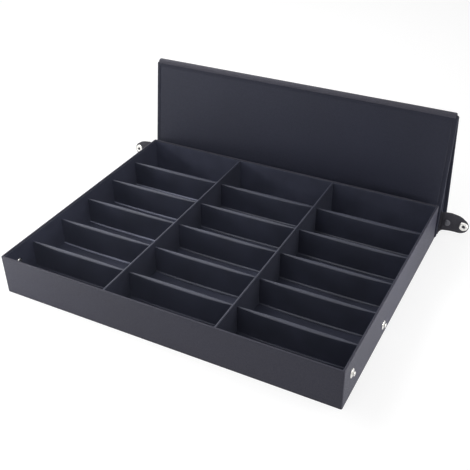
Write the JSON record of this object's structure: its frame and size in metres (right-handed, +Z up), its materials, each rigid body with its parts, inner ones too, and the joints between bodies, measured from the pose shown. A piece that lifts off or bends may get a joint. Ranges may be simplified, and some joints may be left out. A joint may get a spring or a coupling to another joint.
{
  "type": "glasses storage box",
  "caption": "Shallow covered tray split into padded compartments for glasses, with a two-panel folding lid that stands as a tent behind it and closes with snap straps.",
  "frame": {"origin": "centre of the tray's underside", "axes": "+X to the right along the tray's long side, +Y to the rear where the lid stands, +Z up"},
  "size_m": [0.57, 0.4384, 0.1882],
  "materials": {
    "leatherette": "fine pebbled leatherette, satin",
    "strap": "smooth leatherette, satin",
    "lining": "short-napped suede cloth",
    "nickel": "bright nickel plate",
    "gunmetal": "dark satin plate"
  },
  "bodies": {
    "tray": {"base_cover": "leatherette", "tray_base": "leatherette", "front_wall": "leatherette", "rear_wall": "leatherette", "left_wall": "leatherette", "right_wall": "leatherette", "floor_pad": "lining", "wall_lining": "lining", "partition_left": "lining", "partition_right": "lining", "divider_1_1": "lining", "divider_1_2": "lining", "divider_1_3": "lining", "divider_1_4": "lining", "divider_1_5": "lining", "divider_2_1": "lining", "divider_2_2": "lining", "divider_2_3": "lining", "divider_2_4": "lining", "divider_2_5": "lining", "divider_3_1": "lining", "divider_3_2": "lining", "divider_3_3": "lining", "divider_3_4": "lining", "divider_3_5": "lining", "closing_studs": "nickel", "closing_stud_caps": "gunmetal", "display_studs": "nickel", "display_stud_caps": "gunmetal"},
    "hinge_flap": {"hinge_flap": "leatherette"},
    "rear_panel": {"rear_panel": "leatherette", "rear_panel_lining": "lining", "fold_strip": "leatherette"},
    "front_panel": {"front_panel": "leatherette", "front_panel_lining": "lining"},
    "strap_left": {"strap_tongue_left": "strap", "strap_left": "strap", "strap_rivet_left": "gunmetal", "snap_cap_left": "nickel", "snap_socket_left": "nickel"},
    "strap_right": {"strap_tongue_right": "strap", "strap_right": "strap", "strap_rivet_right": "gunmetal", "snap_cap_right": "nickel", "snap_socket_right": "nickel"}
  },
  "joints": [
    {"name": "flap_hinge", "type": "hinge", "parent": "tray", "child": "hinge_flap", "pos_m": [0, 0.1895, 0.0005], "axis": [1, 0, 0], "range_deg": [0, 8], "deforming": ["hinge_flap"]},
    {"name": "rear_panel_hinge", "type": "hinge", "parent": "hinge_flap", "child": "rear_panel", "pos_m": [0, 0.2497, 0.0005], "axis": [1, 0, 0], "range_deg": [-98, 0], "deforming": ["hinge_flap"]},
    {"name": "fold_hinge", "type": "hinge", "parent": "rear_panel", "child": "front_panel", "pos_m": [0, 0.22, 0.18346], "axis": [1, 0, 0], "range_deg": [-0.3, 15.9], "deforming": ["fold_strip", "hinge_flap"]},
    {"name": "strap_left_hinge", "type": "hinge", "parent": "front_panel", "child": "strap_left", "pos_m": [-0.2433, 0.19533, 0.02847], "axis": [0, 0.1429, 0.9897], "range_deg": [-85, 60]},
    {"name": "strap_right_hinge", "type": "hinge", "parent": "front_panel", "child": "strap_right", "pos_m": [0.2433, 0.19533, 0.02847], "axis": [0, 0.1429, 0.9897], "range_deg": [-60, 85]}
  ]
}
